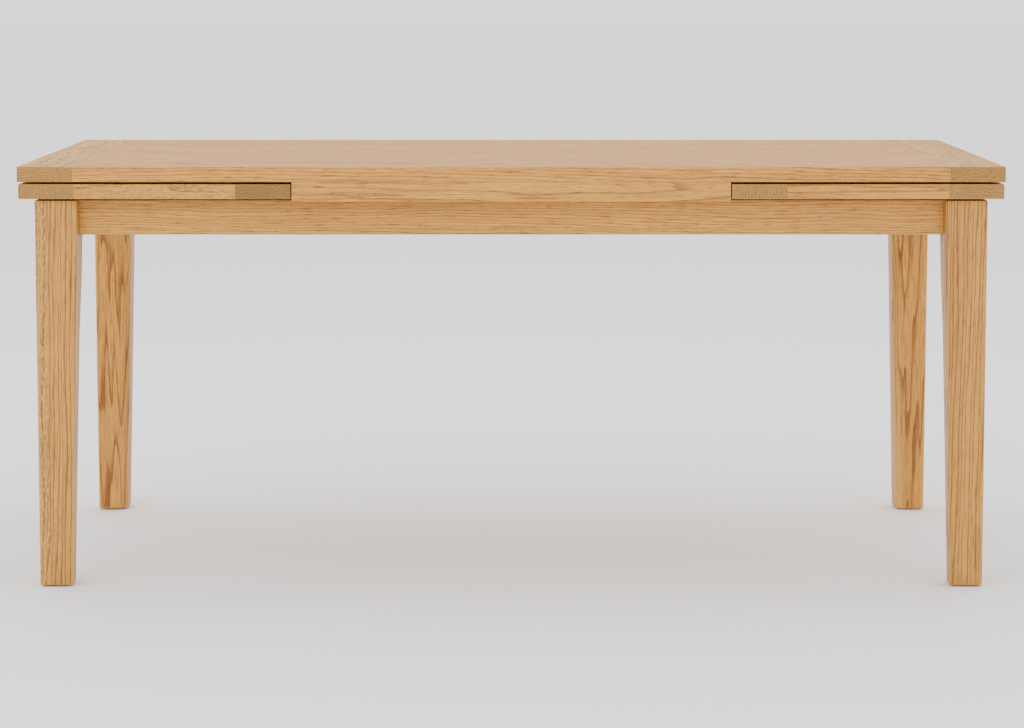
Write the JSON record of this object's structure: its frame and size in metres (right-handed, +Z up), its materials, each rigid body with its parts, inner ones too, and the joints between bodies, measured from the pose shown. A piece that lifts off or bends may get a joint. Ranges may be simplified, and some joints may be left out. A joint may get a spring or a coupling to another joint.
{
  "type": "extendable dining table",
  "caption": "Long oak dining table with tapered legs and a loose top over two draw leaves on sloping lopers, which pull out at the ends and rise flush.",
  "frame": {"origin": "on the floor, at the centre of the table's plan", "axes": "+X along the table's length, +Y towards the back, +Z up"},
  "size_m": [1.8, 0.9, 0.778],
  "materials": {
    "oak": "satin oiled oak",
    "oak_top": "satin oiled oak",
    "inner_oak": "unfinished oak",
    "beech_dowel": "unfinished beech",
    "zinc_steel": "zinc plated",
    "felt": "pressed felt"
  },
  "bodies": {
    "frame": {"back_apron": "oak", "back_guide_batten_left": "inner_oak", "back_guide_batten_right": "inner_oak", "back_left_corner_block": "inner_oak", "back_left_leg": "oak", "back_right_corner_block": "inner_oak", "back_right_leg": "oak", "centre_board": "oak", "centre_board_screws": "zinc_steel", "foot_glides": "felt", "front_apron": "oak", "front_guide_batten_left": "inner_oak", "front_guide_batten_right": "inner_oak", "front_left_corner_block": "inner_oak", "front_left_leg": "oak", "front_right_corner_block": "inner_oak", "front_right_leg": "oak", "guide_batten_screws": "zinc_steel", "hanger_bolt_nuts": "zinc_steel", "hanger_bolt_washers": "zinc_steel", "hanger_bolts": "zinc_steel", "left_end_rail": "oak", "locating_pegs": "beech_dowel", "right_end_rail": "oak"},
    "left_leaf": {"left_leaf_back_loper": "oak", "left_leaf_front_loper": "oak", "left_leaf_left_breadboard": "oak", "left_leaf_plank_1": "oak", "left_leaf_plank_2": "oak", "left_leaf_plank_3": "oak", "left_leaf_plank_4": "oak", "left_leaf_plank_5": "oak", "left_leaf_right_breadboard": "oak", "left_leaf_screws": "zinc_steel"},
    "left_pivot": {"left_pivot_dowels": "beech_dowel"},
    "left_slide": {"left_stop_dowels": "beech_dowel"},
    "right_leaf": {"right_leaf_back_loper": "oak", "right_leaf_front_loper": "oak", "right_leaf_left_breadboard": "oak", "right_leaf_plank_1": "oak", "right_leaf_plank_2": "oak", "right_leaf_plank_3": "oak", "right_leaf_plank_4": "oak", "right_leaf_plank_5": "oak", "right_leaf_right_breadboard": "oak", "right_leaf_screws": "zinc_steel"},
    "right_pivot": {"right_pivot_dowels": "beech_dowel"},
    "right_slide": {"right_stop_dowels": "beech_dowel"},
    "top": {"top_left_breadboard": "oak_top", "top_plank_1": "oak_top", "top_plank_2": "oak_top", "top_plank_3": "oak_top", "top_plank_4": "oak_top", "top_plank_5": "oak_top", "top_right_breadboard": "oak_top"}
  },
  "joints": [
    {"name": "left_leaf_raise", "type": "hinge", "parent": "frame", "child": "left_pivot", "pos_m": [-0.31097, 0, 0.689], "axis": [0, 1, 0], "range_deg": [0, 3.67]},
    {"name": "left_leaf_draw", "type": "slide", "parent": "left_pivot", "child": "left_slide", "axis": [-1, 0, 0], "range_m": [0, 0.49953]},
    {"name": "left_leaf_level", "type": "hinge", "parent": "left_slide", "child": "left_leaf", "pos_m": [-0.31097, 0, 0.689], "axis": [0, 1, 0], "range_deg": [-3.67, 0]},
    {"name": "right_leaf_raise", "type": "hinge", "parent": "frame", "child": "right_pivot", "pos_m": [0.31097, 0, 0.689], "axis": [0, -1, 0], "range_deg": [0, 3.67]},
    {"name": "right_leaf_draw", "type": "slide", "parent": "right_pivot", "child": "right_slide", "axis": [1, 0, 0], "range_m": [0, 0.49953]},
    {"name": "right_leaf_level", "type": "hinge", "parent": "right_slide", "child": "right_leaf", "pos_m": [0.31097, 0, 0.689], "axis": [0, -1, 0], "range_deg": [-3.67, 0]},
    {"name": "top_lift", "type": "slide", "parent": "frame", "child": "top", "axis": [0, 0, -1], "range_m": [-0.035, 0]}
  ],
  "couplings": [
    {"joint": "left_leaf_level", "follows": "left_leaf_raise", "ratio": -1},
    {"joint": "right_leaf_level", "follows": "right_leaf_raise", "ratio": -1}
  ]
}
